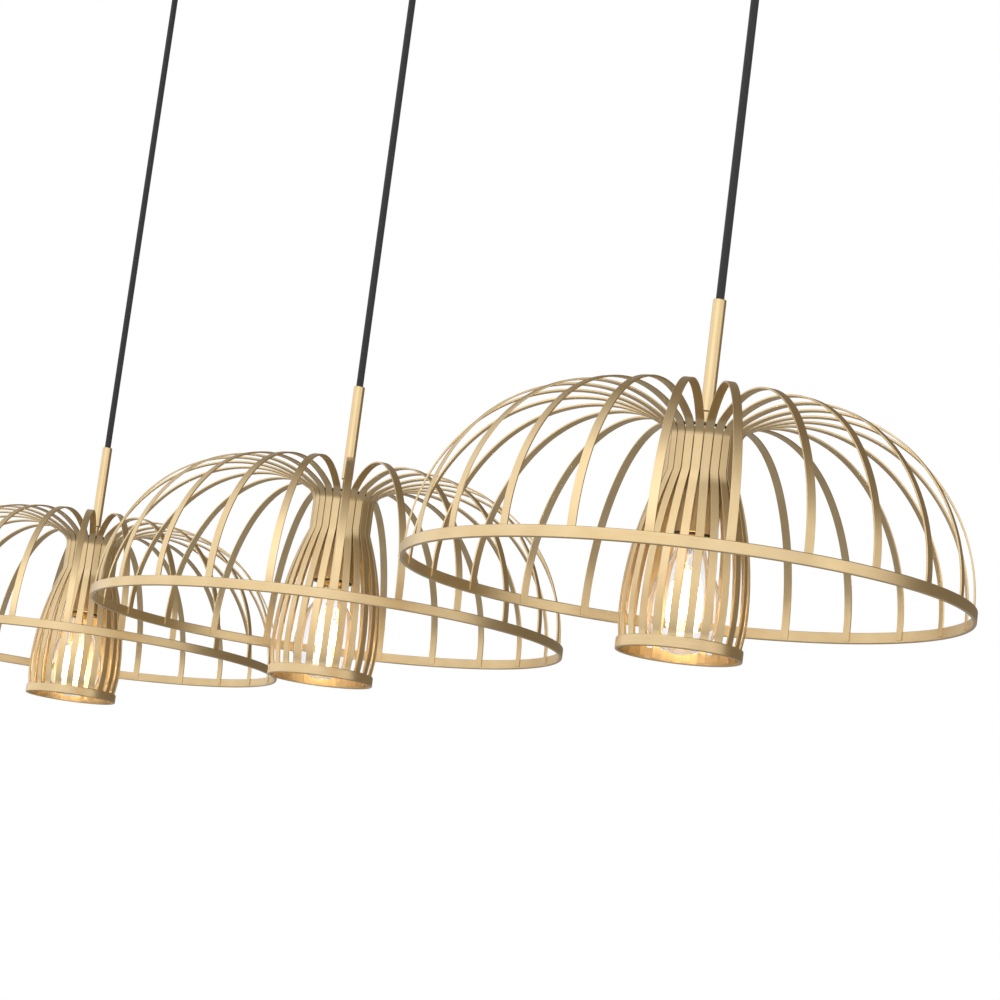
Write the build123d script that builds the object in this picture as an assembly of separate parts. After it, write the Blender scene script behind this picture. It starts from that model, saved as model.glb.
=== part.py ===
from build123d import *
import math
import os

# Linear island pendant: three domed cage shades on black cords below one long
# canopy.  Millimetres, +Z up.  The origin is the middle of the canopy on the
# ceiling plane, and the row of shades runs along X.  Each shade is drawn about
# its own axis, with its zero height at the underside of its hoop.

# ---------------------------------------------------------------- whole light
SHADE_SPACING = 620.0          # between neighbouring pendants
OVERALL_DROP = 930.0           # ceiling down to the underside of the hoops
PENDANTS = {"a": SHADE_SPACING, "b": 0.0, "c": -SHADE_SPACING}
SWING_LIMIT = 15.0             # degrees, each way, that a grip lets its cord lean

# --------------------------------------------------------------------- canopy
CANOPY_END = 70.0              # canopy that stands out past the outer cords
CANOPY_WIDTH = 115.0
CANOPY_DEPTH = 28.0
CANOPY_WALL = 1.5
CANOPY_CORNER = 10.0
CROSSBAR_WIDTH = 30.0
CROSSBAR_THICKNESS = 2.0
BOX_SLOT_SPACING = 88.9        # screws of a round ceiling box
BOX_SLOT_LENGTH = 12.0
BAR_HOLE_RADIUS = 2.5
ANCHOR_SPACING = 920.0         # screws into the ceiling near the bar's ends
CROSSBAR_END = 40.0            # bar that stands out past its end screws
POST_RADIUS = 2.0
CAP_NUT_RADIUS = 6.0
CAP_NUT_HEIGHT = 9.0
CAP_NUT_ROUND = 1.5
CAP_NUT_ROOF = 2.5             # solid metal under the end of the post
GROUND_SCREW_PLACE = 80.0      # from the middle of the bar
GROUND_SHANK_RADIUS = 1.9
GROUND_HEAD_RADIUS = 4.0
GROUND_HEAD_HEIGHT = 2.4

# ------------------------------------------------------- grip that holds a cord
PIVOT_RISE = 6.0               # swing centre above the underside of the canopy
BALL_RADIUS = 5.2              # ball of the crimp on the cord
BALL_HALF_HEIGHT = 2.4
CRIMP_RISE = 8.0               # top of the crimp above the swing centre
SWIVEL_WALL = 2.1              # ring between the ball and its seat
SWIVEL_LOW = 2.6               # lower face of the ring, below the swing centre
SWIVEL_HIGH = 0.2              # upper face of the ring, below the swing centre
SEAT_LIP = 3.9                 # lower edge of the seat, below the swing centre
SEAT_RISE = 3.0                # top of the grip above the swing centre
GRIP_WALL = 1.7
GRIP_FLANGE_RADIUS = 13.5
GRIP_FLANGE_THICKNESS = 5.0
GRIP_NUT_ACROSS_FLATS = 24.0
GRIP_NUT_THICKNESS = 4.0

# ----------------------------------------------------------------------- cord
CORD_DIAMETER = 6.9
CORD_END_RISE = 2.0            # cord that stands out above the crimp
FERRULE_RADIUS = 4.0
FERRULE_LENGTH = 9.0

# -------------------------------------------------------------- tube and stem
TUBE_DIAMETER = 9.5
TUBE_BOTTOM = 148.0            # seam between the tube and its stem
TUBE_LENGTH = 92.0
TUBE_SHOULDER = 198.0          # step in the bore that rests on the ferrule
STEM_RADIUS = 4.0
STEM_BORE_RADIUS = 2.2
STEM_SPIGOT = 14.0             # threaded end inside the tube
STEM_ENTRY = 3.0               # stem end inside the lamp holder
NUT_ACROSS_FLATS = 13.0
NUT_THICKNESS = 4.0

# ---------------------------------------------------------------- shade frame
STRIP_WIDTH = 7.0
STRIP_THICKNESS = 1.5
RIB_COUNT = 24
RIB_PHASE = 3.8                # degrees from +X to the first rib
HOOP_DIAMETER = 457.2
HOOP_HEIGHT = 8.2
HOOP_WALL = 1.6
RIB_END_LIFT = 1.5             # rib ends above the lower edge of the hoop and ring
RING_DIAMETER = 100.2
RING_HEIGHT = 8.2
RING_WALL = 1.2
RING_DROP = 50.0               # ring's lower edge below the hoop's
BULGE_RADIUS = 50.55           # strip centreline at the widest place of the cage
BULGE_DROP = 15.0
NECK_BOTTOM = 95.0
NECK_TOP = 122.0
NECK_STRIP_GAP = 0.43          # between neighbouring strips at the neck
APEX_RADIUS = 92.3
APEX_HEIGHT = 151.2
INNER_FLAT_TURN = 30.0         # degrees of the flatter arc beside the apex
OUTER_FLAT_TURN = 45.0

# ------------------------------------------------------- collar and neck ring
COLLAR_WALL = 1.2
COLLAR_TOP = 121.5
COLLAR_WEB = 2.0
NECK_RING_SIZE = 2.0
NECK_RING_RISE = 9.0           # above the top of the neck

# ---------------------------------------------------------------- lamp holder
CUP_DIAMETER = 39.0
CUP_WALL = 1.0
CUP_BOTTOM = 47.2
HOLDER_BOTTOM = 45.0           # the holder shows below its cup
HOLDER_SHOULDER = 86.0
HOLDER_HUB_RADIUS = 9.0
SHELL_WALL = 0.7
SHELL_HEIGHT = 23.0

# ----------------------------------------------------------------------- bulb
BULB_DIAMETER = 60.0
BULB_BOTTOM = -49.0
BULB_SHOULDER_RADIUS = 75.0    # long curve from the widest place towards the neck
BULB_NECK_RADIUS = 12.4
BULB_NECK_START = 38.0
GLASS_WALL = 0.8
GLASS_TOP = 52.0
BASE_RADIUS = 13.0
BASE_WALL = 0.5
BASE_BOTTOM = 41.5
BASE_HEIGHT = 22.0
BASE_CONE_HEIGHT = 3.0
CONTACT_RADIUS = 4.5
CONTACT_HEIGHT = 1.0
FILAMENT_COUNT = 4
FILAMENT_RADIUS = 1.5
FILAMENT_TOP = 8.0
FILAMENT_LENGTH = 38.0
FILAMENT_TOP_SPREAD = 12.3
FILAMENT_BOTTOM_SPREAD = 13.0
WIRE_RADIUS = 0.4
MOUNT_RADIUS = 3.2
MOUNT_BOTTOM = 20.0
MOUNT_FLANGE = 1.5

# ----------------------------------------------------------------- clearances
FIT_CLEARANCE = 0.02           # between pieces that are screwed or pressed together
WELD_CLEARANCE = 0.05          # between a strip's edges and the round part it is welded to
RUNNING_CLEARANCE = 0.08       # between pieces that turn on each other
BALL_CLEARANCE = 0.05
LEAN_CLEARANCE = 0.4           # between a leaning cord and the mouth of its grip
THREAD_CLEARANCE = 0.3         # between the bulb's base and its shell

# ------------------------------------------------------------- worked-out sizes
canopy_length = 2 * (SHADE_SPACING + CANOPY_END)
crossbar_length = ANCHOR_SPACING + 2 * CROSSBAR_END
cord_radius = CORD_DIAMETER / 2
pivot_height = PIVOT_RISE - CANOPY_DEPTH
ring_outer_radius = BALL_RADIUS + BALL_CLEARANCE + SWIVEL_WALL
seat_radius = ring_outer_radius + BALL_CLEARANCE
barrel_radius = seat_radius + GRIP_WALL
lean_limit = math.acos(math.cos(math.radians(SWING_LIMIT)) ** 2)
hoop_inner = HOOP_DIAMETER / 2 - HOOP_WALL
ring_inner = RING_DIAMETER / 2 - RING_WALL
half_strip = STRIP_WIDTH / 2
half_plate = STRIP_THICKNESS / 2
hoop_line = math.sqrt((hoop_inner - WELD_CLEARANCE) ** 2 - half_strip ** 2) - half_plate
ring_line = math.sqrt((ring_inner - WELD_CLEARANCE) ** 2 - half_strip ** 2) - half_plate
neck_face = (STRIP_WIDTH + NECK_STRIP_GAP) / (2 * math.tan(math.pi / RIB_COUNT))
neck_line = neck_face + half_plate
collar_radius = neck_face - WELD_CLEARANCE
web_bottom = COLLAR_TOP - COLLAR_WEB
cup_roof_bottom = web_bottom - CUP_WALL
lower_nut_bottom = cup_roof_bottom - NUT_THICKNESS
stem_bottom = lower_nut_bottom - STEM_ENTRY
ferrule_top = TUBE_SHOULDER - RUNNING_CLEARANCE
cord_bottom = ferrule_top - FERRULE_LENGTH
shell_inner = BASE_RADIUS + THREAD_CLEARANCE
base_top = BASE_BOTTOM + BASE_HEIGHT
contact_bottom = base_top + BASE_CONE_HEIGHT
shell_top = contact_bottom + CONTACT_HEIGHT + THREAD_CLEARANCE
bulb_centre = BULB_BOTTOM + BULB_DIAMETER / 2

os.makedirs("parts", exist_ok=True)


# -------------------------------------------------------------------- helpers
def disc(radius, bottom, top):
    """Upright cylinder between two heights."""
    shape = Cylinder(radius, top - bottom, align=(Align.CENTER, Align.CENTER, Align.MIN))
    return Pos(0, 0, bottom) * shape


def pipe(outer, inner, bottom, top):
    """Upright pipe between two heights."""
    return disc(outer, bottom, top) - disc(inner, bottom, top)


def hex_nut(across_flats, bore, bottom, top):
    """Upright hexagon nut between two heights."""
    face = RegularPolygon(across_flats / 2, 6, major_radius=False)
    body = Pos(0, 0, bottom) * extrude(face, top - bottom)
    return body - disc(bore, bottom, top)


def turned(edges):
    """Solid of revolution about Z from edges drawn as (radius, height)."""
    outline = make_face(Plane.XZ * Curve(edges))
    return revolve(outline, Axis.Z)


def sphere_point(radius, height):
    """Point of a circle about the origin at a given height."""
    return (math.sqrt(radius ** 2 - height ** 2), height)


def arc_between(radius, low, high):
    """Arc about the origin between two heights, drawn upwards."""
    middle = sphere_point(radius, (low + high) / 2)
    return ThreePointArc(sphere_point(radius, low), middle, sphere_point(radius, high))


def rod(start, end, radius):
    """Round rod between two points."""
    axis = Vector(*end) - Vector(*start)
    plane = Plane(origin=start, z_dir=axis)
    return plane * Cylinder(radius, axis.length, align=(Align.CENTER, Align.CENTER, Align.MIN))


def save(name, shape):
    """Write one node and say how many solids it holds."""
    export_step(shape, f"parts/{name}.step")
    print(name, len(shape.solids()))


def gather(shapes):
    """Separate solids that share one node."""
    solids = [solid for shape in shapes for solid in shape.solids()]
    return Compound(children=solids)


# --------------------------------------------------------------------- canopy
def canopy_tray():
    """Long rounded tray with its open side against the ceiling."""
    outside = RectangleRounded(canopy_length, CANOPY_WIDTH, CANOPY_CORNER)
    wall = 2 * CANOPY_WALL
    inside = RectangleRounded(canopy_length - wall, CANOPY_WIDTH - wall, CANOPY_CORNER - CANOPY_WALL)
    tray = Pos(0, 0, -CANOPY_DEPTH) * extrude(outside, CANOPY_DEPTH)
    floor_top = CANOPY_WALL - CANOPY_DEPTH
    tray -= Pos(0, 0, floor_top) * extrude(inside, -floor_top)
    for place in PENDANTS.values():
        tray -= Pos(place, 0, 0) * disc(barrel_radius + FIT_CLEARANCE, -CANOPY_DEPTH, floor_top)
    for place in post_places():
        tray -= Pos(place, 0, 0) * disc(POST_RADIUS + RUNNING_CLEARANCE, -CANOPY_DEPTH, floor_top)
    return tray


def post_places():
    """Positions along X of the two posts, each halfway between two cords."""
    return (-SHADE_SPACING / 2, SHADE_SPACING / 2)


def crossbar():
    """Flat bar screwed to the ceiling inside the canopy."""
    bar = Pos(0, 0, -CROSSBAR_THICKNESS) * extrude(
        Rectangle(crossbar_length, CROSSBAR_WIDTH), CROSSBAR_THICKNESS)
    slot = extrude(SlotOverall(BOX_SLOT_LENGTH, 2 * BAR_HOLE_RADIUS), -CROSSBAR_THICKNESS)
    for side in (-1, 1):
        bar -= Pos(side * BOX_SLOT_SPACING / 2, 0, 0) * slot
        bar -= Pos(side * ANCHOR_SPACING / 2, 0, 0) * disc(BAR_HOLE_RADIUS, -CROSSBAR_THICKNESS, 0)
    for place in post_places():
        bar -= Pos(place, 0, 0) * disc(POST_RADIUS + FIT_CLEARANCE, -CROSSBAR_THICKNESS, 0)
    shank_hole = disc(GROUND_SHANK_RADIUS + FIT_CLEARANCE, -CROSSBAR_THICKNESS, 0)
    return bar - Pos(GROUND_SCREW_PLACE, 0, 0) * shank_hole


def canopy_posts():
    """Two threaded posts from the bar down through the tray."""
    post_bottom = CAP_NUT_ROOF - CANOPY_DEPTH - CAP_NUT_HEIGHT
    return gather(Pos(place, 0, 0) * disc(POST_RADIUS, post_bottom, 0) for place in post_places())


def cap_nuts():
    """Two round nuts that clamp the tray from below."""
    nut_bottom = -CANOPY_DEPTH - CAP_NUT_HEIGHT
    nut = disc(CAP_NUT_RADIUS, nut_bottom, -CANOPY_DEPTH)
    nut = fillet(nut.edges().group_by(Axis.Z)[0], CAP_NUT_ROUND)
    nut -= disc(POST_RADIUS + FIT_CLEARANCE, nut_bottom + CAP_NUT_ROOF, -CANOPY_DEPTH)
    return gather(Pos(place, 0, 0) * nut for place in post_places())


def ground_screw():
    """Earthing screw in the bar."""
    head_top = -CROSSBAR_THICKNESS
    screw = disc(GROUND_HEAD_RADIUS, head_top - GROUND_HEAD_HEIGHT, head_top)
    screw += disc(GROUND_SHANK_RADIUS, head_top, 0)
    return Pos(GROUND_SCREW_PLACE, 0, 0) * screw


# ------------------------------------------------------------- grip and swivel
# These pieces are drawn with the swing centre at height zero.
def cord_grip():
    """Round grip through the canopy: a ball seat above, a bell mouth below."""
    flange_top = -PIVOT_RISE
    flange_bottom = flange_top - GRIP_FLANGE_THICKNESS
    mouth = cord_radius / math.cos(lean_limit) - flange_bottom * math.tan(lean_limit) + LEAN_CLEARANCE
    lip = sphere_point(seat_radius, -SEAT_LIP)
    return turned([
        arc_between(seat_radius, -SEAT_LIP, 0),
        Polyline(
            (seat_radius, 0), (seat_radius, SEAT_RISE), (barrel_radius, SEAT_RISE),
            (barrel_radius, flange_top), (GRIP_FLANGE_RADIUS, flange_top),
            (GRIP_FLANGE_RADIUS, flange_bottom), (mouth, flange_bottom), lip),
    ])


def grip_nuts():
    """The nuts that hold the grips from inside the canopy."""
    floor_top = CANOPY_WALL - CANOPY_DEPTH
    nut = hex_nut(GRIP_NUT_ACROSS_FLATS, barrel_radius + FIT_CLEARANCE, floor_top,
                  floor_top + GRIP_NUT_THICKNESS)
    return gather(Pos(place, 0, 0) * nut for place in PENDANTS.values())


def swivel_ring():
    """Ring with a ball-shaped bore and a ball-shaped outside."""
    bore = BALL_RADIUS + BALL_CLEARANCE
    return turned([
        arc_between(ring_outer_radius, -SWIVEL_LOW, -SWIVEL_HIGH),
        arc_between(bore, -SWIVEL_LOW, -SWIVEL_HIGH),
        Line(sphere_point(ring_outer_radius, -SWIVEL_HIGH), sphere_point(bore, -SWIVEL_HIGH)),
        Line(sphere_point(bore, -SWIVEL_LOW), sphere_point(ring_outer_radius, -SWIVEL_LOW)),
    ])


def ball_crimp():
    """Crimp on the cord's upper end, with the ball that it hangs on."""
    bore = cord_radius + FIT_CLEARANCE
    neck_radius = sphere_point(BALL_RADIUS, BALL_HALF_HEIGHT)[0]
    return turned([
        arc_between(BALL_RADIUS, -BALL_HALF_HEIGHT, BALL_HALF_HEIGHT),
        Polyline(
            (neck_radius, BALL_HALF_HEIGHT), (neck_radius, CRIMP_RISE), (bore, CRIMP_RISE),
            (bore, -BALL_HALF_HEIGHT), (neck_radius, -BALL_HALF_HEIGHT)),
    ])


# ------------------------------------------------------------------ tube, stem
def tube():
    """Long sleeve over the cord, with a step that rests on the ferrule."""
    top = TUBE_BOTTOM + TUBE_LENGTH
    narrow = pipe(TUBE_DIAMETER / 2, cord_radius + RUNNING_CLEARANCE, TUBE_SHOULDER, top)
    wide = pipe(TUBE_DIAMETER / 2, FERRULE_RADIUS + RUNNING_CLEARANCE, TUBE_BOTTOM, TUBE_SHOULDER)
    return narrow + wide


def stem():
    """Threaded stem from the tube down into the lamp holder."""
    spigot_radius = FERRULE_RADIUS + RUNNING_CLEARANCE - FIT_CLEARANCE
    body = pipe(STEM_RADIUS, STEM_BORE_RADIUS, stem_bottom, TUBE_BOTTOM)
    return body + pipe(spigot_radius, STEM_BORE_RADIUS, TUBE_BOTTOM, TUBE_BOTTOM + STEM_SPIGOT)


def stem_nuts():
    """Nut above the collar's web and nut under the cup's roof."""
    bore = STEM_RADIUS + FIT_CLEARANCE
    upper = hex_nut(NUT_ACROSS_FLATS, bore, COLLAR_TOP, COLLAR_TOP + NUT_THICKNESS)
    lower = hex_nut(NUT_ACROSS_FLATS, bore, lower_nut_bottom, cup_roof_bottom)
    return gather([upper, lower])


# ---------------------------------------------------------------- shade frame
def quarter_radii(across, down, flat_turn):
    """Radii of two tangent arcs that turn a level line to a plumb one."""
    sine = math.sin(math.radians(flat_turn))
    cosine = math.cos(math.radians(flat_turn))
    span = sine * cosine - (1 - sine) * (1 - cosine)
    flat = (across * cosine - down * (1 - sine)) / span
    steep = (down * sine - across * (1 - cosine)) / span
    return flat, steep


def turn_arc(centre, radius, first, last):
    """Start, middle and end of an arc, with angles in degrees from +r."""
    points = []
    for angle in (first, (first + last) / 2, last):
        turn = math.radians(angle)
        points.append((centre[0] + radius * math.cos(turn), centre[1] + radius * math.sin(turn)))
    return points


def vertical_arc(widest, end):
    """Arc from its plumb place to an end nearer the axis."""
    inward = widest[0] - end[0]
    rise = end[1] - widest[1]
    radius = (inward ** 2 + rise ** 2) / (2 * inward)
    turn = math.degrees(math.asin(rise / radius))
    return turn_arc((widest[0] - radius, widest[1]), radius, 0, turn)


def rib_path():
    """Centreline of one rib as (radius, height), from the ring to the hoop."""
    bulge = (BULGE_RADIUS, -BULGE_DROP)
    ring_bottom = (ring_line, RIB_END_LIFT - RING_DROP)
    ring_top = (ring_line, RING_HEIGHT - RING_DROP)
    apex = (APEX_RADIUS, APEX_HEIGHT)
    hoop_top = HOOP_HEIGHT
    flat_in, steep_in = quarter_radii(
        APEX_RADIUS - neck_line, APEX_HEIGHT - NECK_TOP, INNER_FLAT_TURN)
    flat_out, steep_out = quarter_radii(
        hoop_line - APEX_RADIUS, APEX_HEIGHT - hoop_top, OUTER_FLAT_TURN)
    return [
        [ring_bottom, ring_top],
        list(reversed(vertical_arc(bulge, ring_top))),
        vertical_arc(bulge, (neck_line, NECK_BOTTOM)),
        [(neck_line, NECK_BOTTOM), (neck_line, NECK_TOP)],
        turn_arc((neck_line + steep_in, NECK_TOP), steep_in, 180, 90 + INNER_FLAT_TURN),
        turn_arc((apex[0], apex[1] - flat_in), flat_in, 90 + INNER_FLAT_TURN, 90),
        turn_arc((apex[0], apex[1] - flat_out), flat_out, 90, 90 - OUTER_FLAT_TURN),
        turn_arc((hoop_line - steep_out, hoop_top), steep_out, 90 - OUTER_FLAT_TURN, 0),
        [(hoop_line, hoop_top), (hoop_line, RIB_END_LIFT)],
    ]


def heading(piece, end):
    """Direction in radians of a line or arc at its start (0) or end (1)."""
    first, last = piece[0], piece[-1]
    chord = math.atan2(last[1] - first[1], last[0] - first[0])
    if len(piece) == 2:
        return chord
    start = math.atan2(piece[1][1] - first[1], piece[1][0] - first[0])
    lean = 2 * math.remainder(start - chord, math.tau)
    return chord + lean if end == 0 else chord - lean


def shifted(point, before, after, distance):
    """Point moved sideways off a path, mitred where the path has a corner."""
    half_turn = math.remainder(after - before, math.tau) / 2
    across = before + half_turn + math.pi / 2
    reach = distance / math.cos(half_turn)
    return (point[0] + reach * math.cos(across), point[1] + reach * math.sin(across))


def side_edges(path, distance):
    """Edges beside a path, at a sideways distance from it."""
    edges = []
    corners = []
    for index, piece in enumerate(path):
        start_heading = heading(piece, 0)
        before = heading(path[index - 1], 1) if index else start_heading
        corners.append(shifted(piece[0], before, start_heading, distance))
    end_heading = heading(path[-1], 1)
    corners.append(shifted(path[-1][-1], end_heading, end_heading, distance))
    for index, piece in enumerate(path):
        start, end = corners[index], corners[index + 1]
        if len(piece) == 2:
            edges.append(Line(start, end))
        else:
            chord = math.atan2(piece[2][1] - piece[0][1], piece[2][0] - piece[0][0])
            edges.append(ThreePointArc(start, shifted(piece[1], chord, chord, distance), end))
    return edges, corners[0], corners[-1]


def ribs():
    """Bent flat strips that make the dome and the cage."""
    path = rib_path()
    left, left_start, left_end = side_edges(path, half_plate)
    right, right_start, right_end = side_edges(path, -half_plate)
    outline = left + right + [Line(left_start, right_start), Line(left_end, right_end)]
    face = make_face(Plane.XZ * Curve(outline))
    strip = extrude(face, half_strip, both=True)
    turns = [RIB_PHASE + 360 * index / RIB_COUNT for index in range(RIB_COUNT)]
    return gather(Rot(0, 0, turn) * strip for turn in turns)


def hoop():
    """Rolled flat band round the foot of the dome."""
    return pipe(HOOP_DIAMETER / 2, hoop_inner, 0, HOOP_HEIGHT)


def bottom_ring():
    """Rolled flat band round the foot of the cage."""
    return pipe(RING_DIAMETER / 2, ring_inner, -RING_DROP, RING_HEIGHT - RING_DROP)


def collar():
    """Sleeve inside the neck, with a web that the stem goes through."""
    sleeve = pipe(collar_radius, collar_radius - COLLAR_WALL, NECK_BOTTOM, web_bottom)
    return sleeve + pipe(collar_radius, STEM_RADIUS + FIT_CLEARANCE, web_bottom, COLLAR_TOP)


def neck_ring():
    """Thin ring inside the strips where they leave the neck."""
    bottom = NECK_TOP + NECK_RING_RISE
    steep_in = quarter_radii(APEX_RADIUS - neck_line, APEX_HEIGHT - NECK_TOP, INNER_FLAT_TURN)[1]
    reach = steep_in + half_plate
    face = neck_line + steep_in - math.sqrt(reach ** 2 - NECK_RING_RISE ** 2)
    outer = face - WELD_CLEARANCE
    return pipe(outer, outer - NECK_RING_SIZE, bottom, bottom + NECK_RING_SIZE)


# ---------------------------------------------------------------- lamp holder
def socket_cup():
    """Metal cup over the lamp holder."""
    radius = CUP_DIAMETER / 2
    wall = pipe(radius, radius - CUP_WALL, CUP_BOTTOM, cup_roof_bottom)
    return wall + pipe(radius, STEM_RADIUS + FIT_CLEARANCE, cup_roof_bottom, web_bottom)


def socket_holder():
    """Insulating body of the lamp holder, screwed on the stem."""
    body = disc(CUP_DIAMETER / 2 - CUP_WALL - FIT_CLEARANCE, HOLDER_BOTTOM, HOLDER_SHOULDER)
    body += disc(HOLDER_HUB_RADIUS, HOLDER_SHOULDER, lower_nut_bottom)
    body -= disc(shell_inner + SHELL_WALL + FIT_CLEARANCE, HOLDER_BOTTOM, shell_top + SHELL_WALL)
    body -= disc(STEM_BORE_RADIUS, shell_top + SHELL_WALL, lower_nut_bottom)
    return body - disc(STEM_RADIUS + FIT_CLEARANCE, stem_bottom, lower_nut_bottom)


def socket_shell():
    """Metal shell that the bulb's base screws into."""
    outer = shell_inner + SHELL_WALL
    return disc(outer, shell_top - SHELL_HEIGHT, shell_top + SHELL_WALL) - disc(
        shell_inner, shell_top - SHELL_HEIGHT, shell_top)


# ----------------------------------------------------------------------- bulb
def bulb_glass():
    """Clear envelope: half a ball, a long shoulder and a straight neck."""
    radius = BULB_DIAMETER / 2
    shoulder_place = radius - BULB_SHOULDER_RADIUS
    neck_reach = BULB_NECK_RADIUS - shoulder_place
    rise = BULB_NECK_START - bulb_centre
    flare = (neck_reach ** 2 + rise ** 2 - BULB_SHOULDER_RADIUS ** 2) / (
        2 * (BULB_SHOULDER_RADIUS - neck_reach))
    lean = math.degrees(math.atan2(rise, neck_reach + flare))

    def skin(inset):
        ball = turn_arc((0, bulb_centre), radius - inset, -90, 0)
        shoulder = turn_arc((shoulder_place, bulb_centre), BULB_SHOULDER_RADIUS - inset, 0, lean)
        throat = turn_arc((BULB_NECK_RADIUS + flare, BULB_NECK_START), flare + inset, 180 + lean, 180)
        return ball, shoulder, throat

    outer = skin(0)
    inner = skin(GLASS_WALL)
    return turned([
        *(ThreePointArc(*arc) for arc in outer + inner),
        Polyline(outer[2][2], (BULB_NECK_RADIUS, GLASS_TOP),
                 (BULB_NECK_RADIUS - GLASS_WALL, GLASS_TOP), inner[2][2]),
        Line(inner[0][0], outer[0][0]),
    ])


def bulb_base():
    """Screw base with its centre contact."""
    base = disc(BASE_RADIUS, BASE_BOTTOM, base_top)
    cone = Cone(BASE_RADIUS, CONTACT_RADIUS, BASE_CONE_HEIGHT,
                align=(Align.CENTER, Align.CENTER, Align.MIN))
    base += Pos(0, 0, base_top) * cone
    base += disc(CONTACT_RADIUS, contact_bottom, contact_bottom + CONTACT_HEIGHT)
    base -= disc(BASE_RADIUS - BASE_WALL, BASE_BOTTOM, GLASS_TOP)
    return base - disc(BULB_NECK_RADIUS - GLASS_WALL, GLASS_TOP, base_top)


def filament():
    """Glass mount with its wires and the glowing rods, joined as one piece."""
    centre_low = (0, 0, FILAMENT_TOP - FILAMENT_LENGTH)
    mount = disc(MOUNT_RADIUS, MOUNT_BOTTOM, GLASS_TOP)
    mount += disc(BULB_NECK_RADIUS - GLASS_WALL - FIT_CLEARANCE, GLASS_TOP - MOUNT_FLANGE, GLASS_TOP)
    mount += rod((0, 0, MOUNT_BOTTOM), centre_low, WIRE_RADIUS)
    for index in range(FILAMENT_COUNT):
        turn = math.tau * index / FILAMENT_COUNT
        level = (math.cos(turn), math.sin(turn))
        high = (level[0] * FILAMENT_TOP_SPREAD, level[1] * FILAMENT_TOP_SPREAD, FILAMENT_TOP)
        low = (level[0] * FILAMENT_BOTTOM_SPREAD, level[1] * FILAMENT_BOTTOM_SPREAD, centre_low[2])
        mount += rod(high, low, FILAMENT_RADIUS)
        mount += rod((0, 0, MOUNT_BOTTOM), high, WIRE_RADIUS)
        mount += rod(centre_low, low, WIRE_RADIUS)
    return mount


# ---------------------------------------------------------------- build it all
for name, shape in (
        ("canopy_tray", canopy_tray()),
        ("crossbar", crossbar()),
        ("canopy_posts", canopy_posts()),
        ("cap_nuts", cap_nuts()),
        ("ground_screw", ground_screw()),
        ("grip_nuts", grip_nuts())):
    save(name, shape)

cord_top = pivot_height + CRIMP_RISE + CORD_END_RISE
cord_length = cord_top + OVERALL_DROP - cord_bottom
ferrule = pipe(FERRULE_RADIUS, cord_radius + FIT_CLEARANCE, cord_bottom, ferrule_top)
at_pivot = Pos(0, 0, pivot_height)
at_shade = Pos(0, 0, -OVERALL_DROP)
pendant_pieces = {
    "cord_grip": at_pivot * cord_grip(),
    "swivel_ring": at_pivot * swivel_ring(),
    "cord": disc(cord_radius, cord_top - cord_length, cord_top),
    "cord_crimps": gather([at_pivot * ball_crimp(), at_shade * ferrule]),
    "tube": at_shade * tube(),
    "stem": at_shade * stem(),
    "stem_nuts": at_shade * stem_nuts(),
    "collar": at_shade * collar(),
    "neck_ring": at_shade * neck_ring(),
    "ribs": at_shade * ribs(),
    "hoop": at_shade * hoop(),
    "bottom_ring": at_shade * bottom_ring(),
    "socket_cup": at_shade * socket_cup(),
    "socket_holder": at_shade * socket_holder(),
    "socket_shell": at_shade * socket_shell(),
    "bulb_glass": at_shade * bulb_glass(),
    "bulb_base": at_shade * bulb_base(),
    "filament": at_shade * filament(),
}
for letter, place in PENDANTS.items():
    for name, shape in pendant_pieces.items():
        save(f"{name}_{letter}", Pos(place, 0, 0) * shape)
print("each cord is one straight run of", round(cord_length, 1), "mm")
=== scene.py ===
import math

import bmesh
import bpy
from mathutils import Matrix, Vector

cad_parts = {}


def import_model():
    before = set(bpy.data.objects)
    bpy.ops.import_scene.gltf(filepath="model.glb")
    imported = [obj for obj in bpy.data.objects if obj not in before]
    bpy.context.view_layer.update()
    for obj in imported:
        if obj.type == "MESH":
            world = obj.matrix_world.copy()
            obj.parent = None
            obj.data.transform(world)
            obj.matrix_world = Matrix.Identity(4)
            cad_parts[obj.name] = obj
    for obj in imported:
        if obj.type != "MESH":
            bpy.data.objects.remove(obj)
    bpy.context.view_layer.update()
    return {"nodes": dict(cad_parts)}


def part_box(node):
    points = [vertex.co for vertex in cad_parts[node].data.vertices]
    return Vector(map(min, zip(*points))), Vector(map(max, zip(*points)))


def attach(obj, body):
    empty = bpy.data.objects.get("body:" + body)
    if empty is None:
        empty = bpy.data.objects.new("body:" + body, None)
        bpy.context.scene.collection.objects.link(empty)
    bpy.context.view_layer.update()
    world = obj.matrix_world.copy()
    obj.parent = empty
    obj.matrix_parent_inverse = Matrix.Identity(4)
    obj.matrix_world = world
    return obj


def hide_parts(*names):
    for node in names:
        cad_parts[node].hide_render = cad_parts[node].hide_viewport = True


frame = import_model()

# ------------------------------------------------------------ driving values
# Millimetres in each shade's own frame: Z up, zero at the underside of its hoop.
MM = 0.001
SHADE_SPACING = 620.0
OVERALL_DROP = 930.0
SHADES = {"a": SHADE_SPACING, "b": 0.0, "c": -SHADE_SPACING}
CORD_RADIUS = 3.45
CORD_TOP = 918.0
CORD_BOTTOM = 188.92
BRAID_STRANDS = 12
BRAID_PITCH = 21.0

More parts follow.
